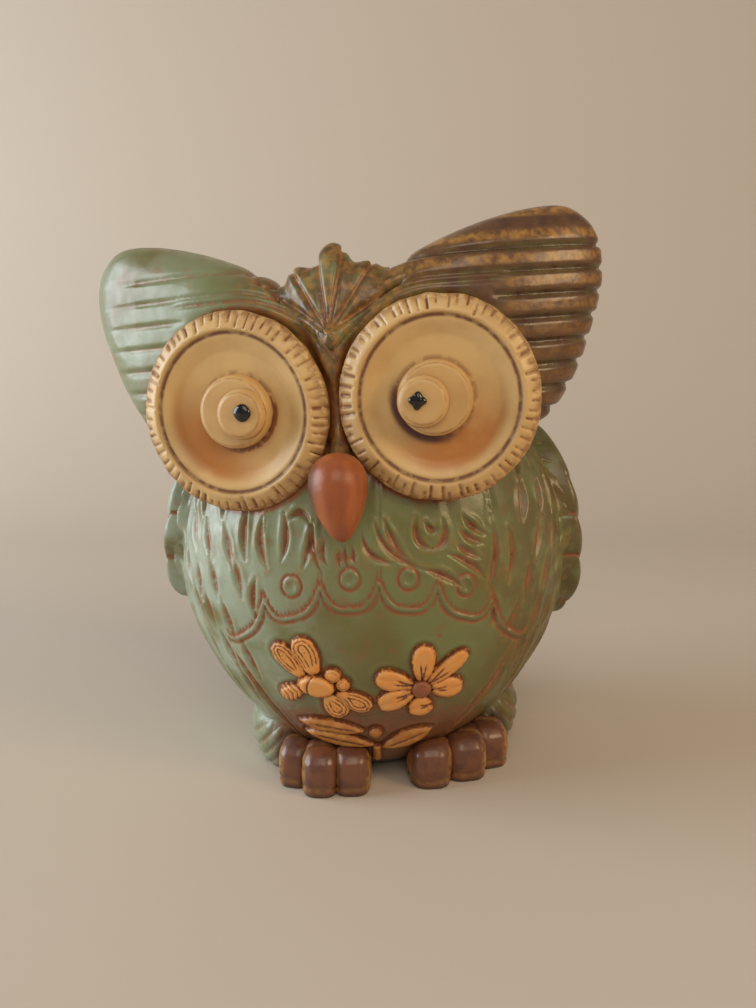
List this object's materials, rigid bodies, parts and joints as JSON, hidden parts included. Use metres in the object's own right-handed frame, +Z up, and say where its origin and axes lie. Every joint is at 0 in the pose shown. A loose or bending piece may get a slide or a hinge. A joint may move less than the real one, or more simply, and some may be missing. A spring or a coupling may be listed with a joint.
{
  "type": "owl figurine",
  "caption": "Free-standing glazed earthenware owl with a turned head, large round eye dishes, ribbed ears, and a flower and dragonfly on its belly.",
  "frame": {"origin": "on the resting plane, at the centre of the bounding box", "axes": "+Z up; the owl looks along -Y; its own left is at +X"},
  "size_m": [0.1948, 0.1644, 0.2176],
  "materials": {
    "green_glaze": "gloss sage green over rust-brown stain in the hollows",
    "ear_brown": "gloss brown with gold mottling, green in the hollows",
    "cream_stain": "satin cream with orange-brown stain and purple-brown grooves",
    "pupil_glaze": "gloss black drop",
    "beak_satin": "satin red-brown",
    "toe_brown": "gloss brown with worn gold lines",
    "sprig_tan": "satin tan orange with brown stain in the lines",
    "flower_centre": "satin red-brown",
    "leaf_gold": "satin golden tan with brown stain"
  },
  "bodies": {
    "root": {"beak": "beak_satin", "body_shell": "green_glaze", "bridge": "green_glaze", "crest_left": "green_glaze", "crest_middle": "green_glaze", "crest_right": "green_glaze", "dragonfly_abdomen": "sprig_tan", "dragonfly_eye_1": "sprig_tan", "dragonfly_eye_2": "sprig_tan", "dragonfly_thorax": "sprig_tan", "dragonfly_wing_1": "sprig_tan", "dragonfly_wing_2": "sprig_tan", "dragonfly_wing_3": "sprig_tan", "dragonfly_wing_4": "sprig_tan", "ear_left": "ear_brown", "ear_right": "green_glaze", "eye_dish_left": "cream_stain", "eye_dish_right": "cream_stain", "eye_knob_left": "cream_stain", "eye_knob_right": "cream_stain", "eye_step_left": "cream_stain", "eye_step_right": "cream_stain", "flower_centre": "flower_centre", "flower_petal_1": "sprig_tan", "flower_petal_2": "sprig_tan", "flower_petal_3": "sprig_tan", "flower_petal_4": "sprig_tan", "flower_petal_5": "sprig_tan", "flower_petal_6": "sprig_tan", "haunch_left": "green_glaze", "haunch_right": "green_glaze", "head_shell": "green_glaze", "leaf_1": "leaf_gold", "leaf_2": "leaf_gold", "leaf_3": "leaf_gold", "pupil_left": "pupil_glaze", "pupil_right": "pupil_glaze", "stem": "leaf_gold", "stem_knot": "leaf_gold", "tail": "green_glaze", "toe_left_inner": "toe_brown", "toe_left_middle": "toe_brown", "toe_left_outer": "toe_brown", "toe_right_inner": "toe_brown", "toe_right_middle": "toe_brown", "toe_right_outer": "toe_brown", "wing_left": "green_glaze", "wing_right": "green_glaze"}
  },
  "joints": []
}
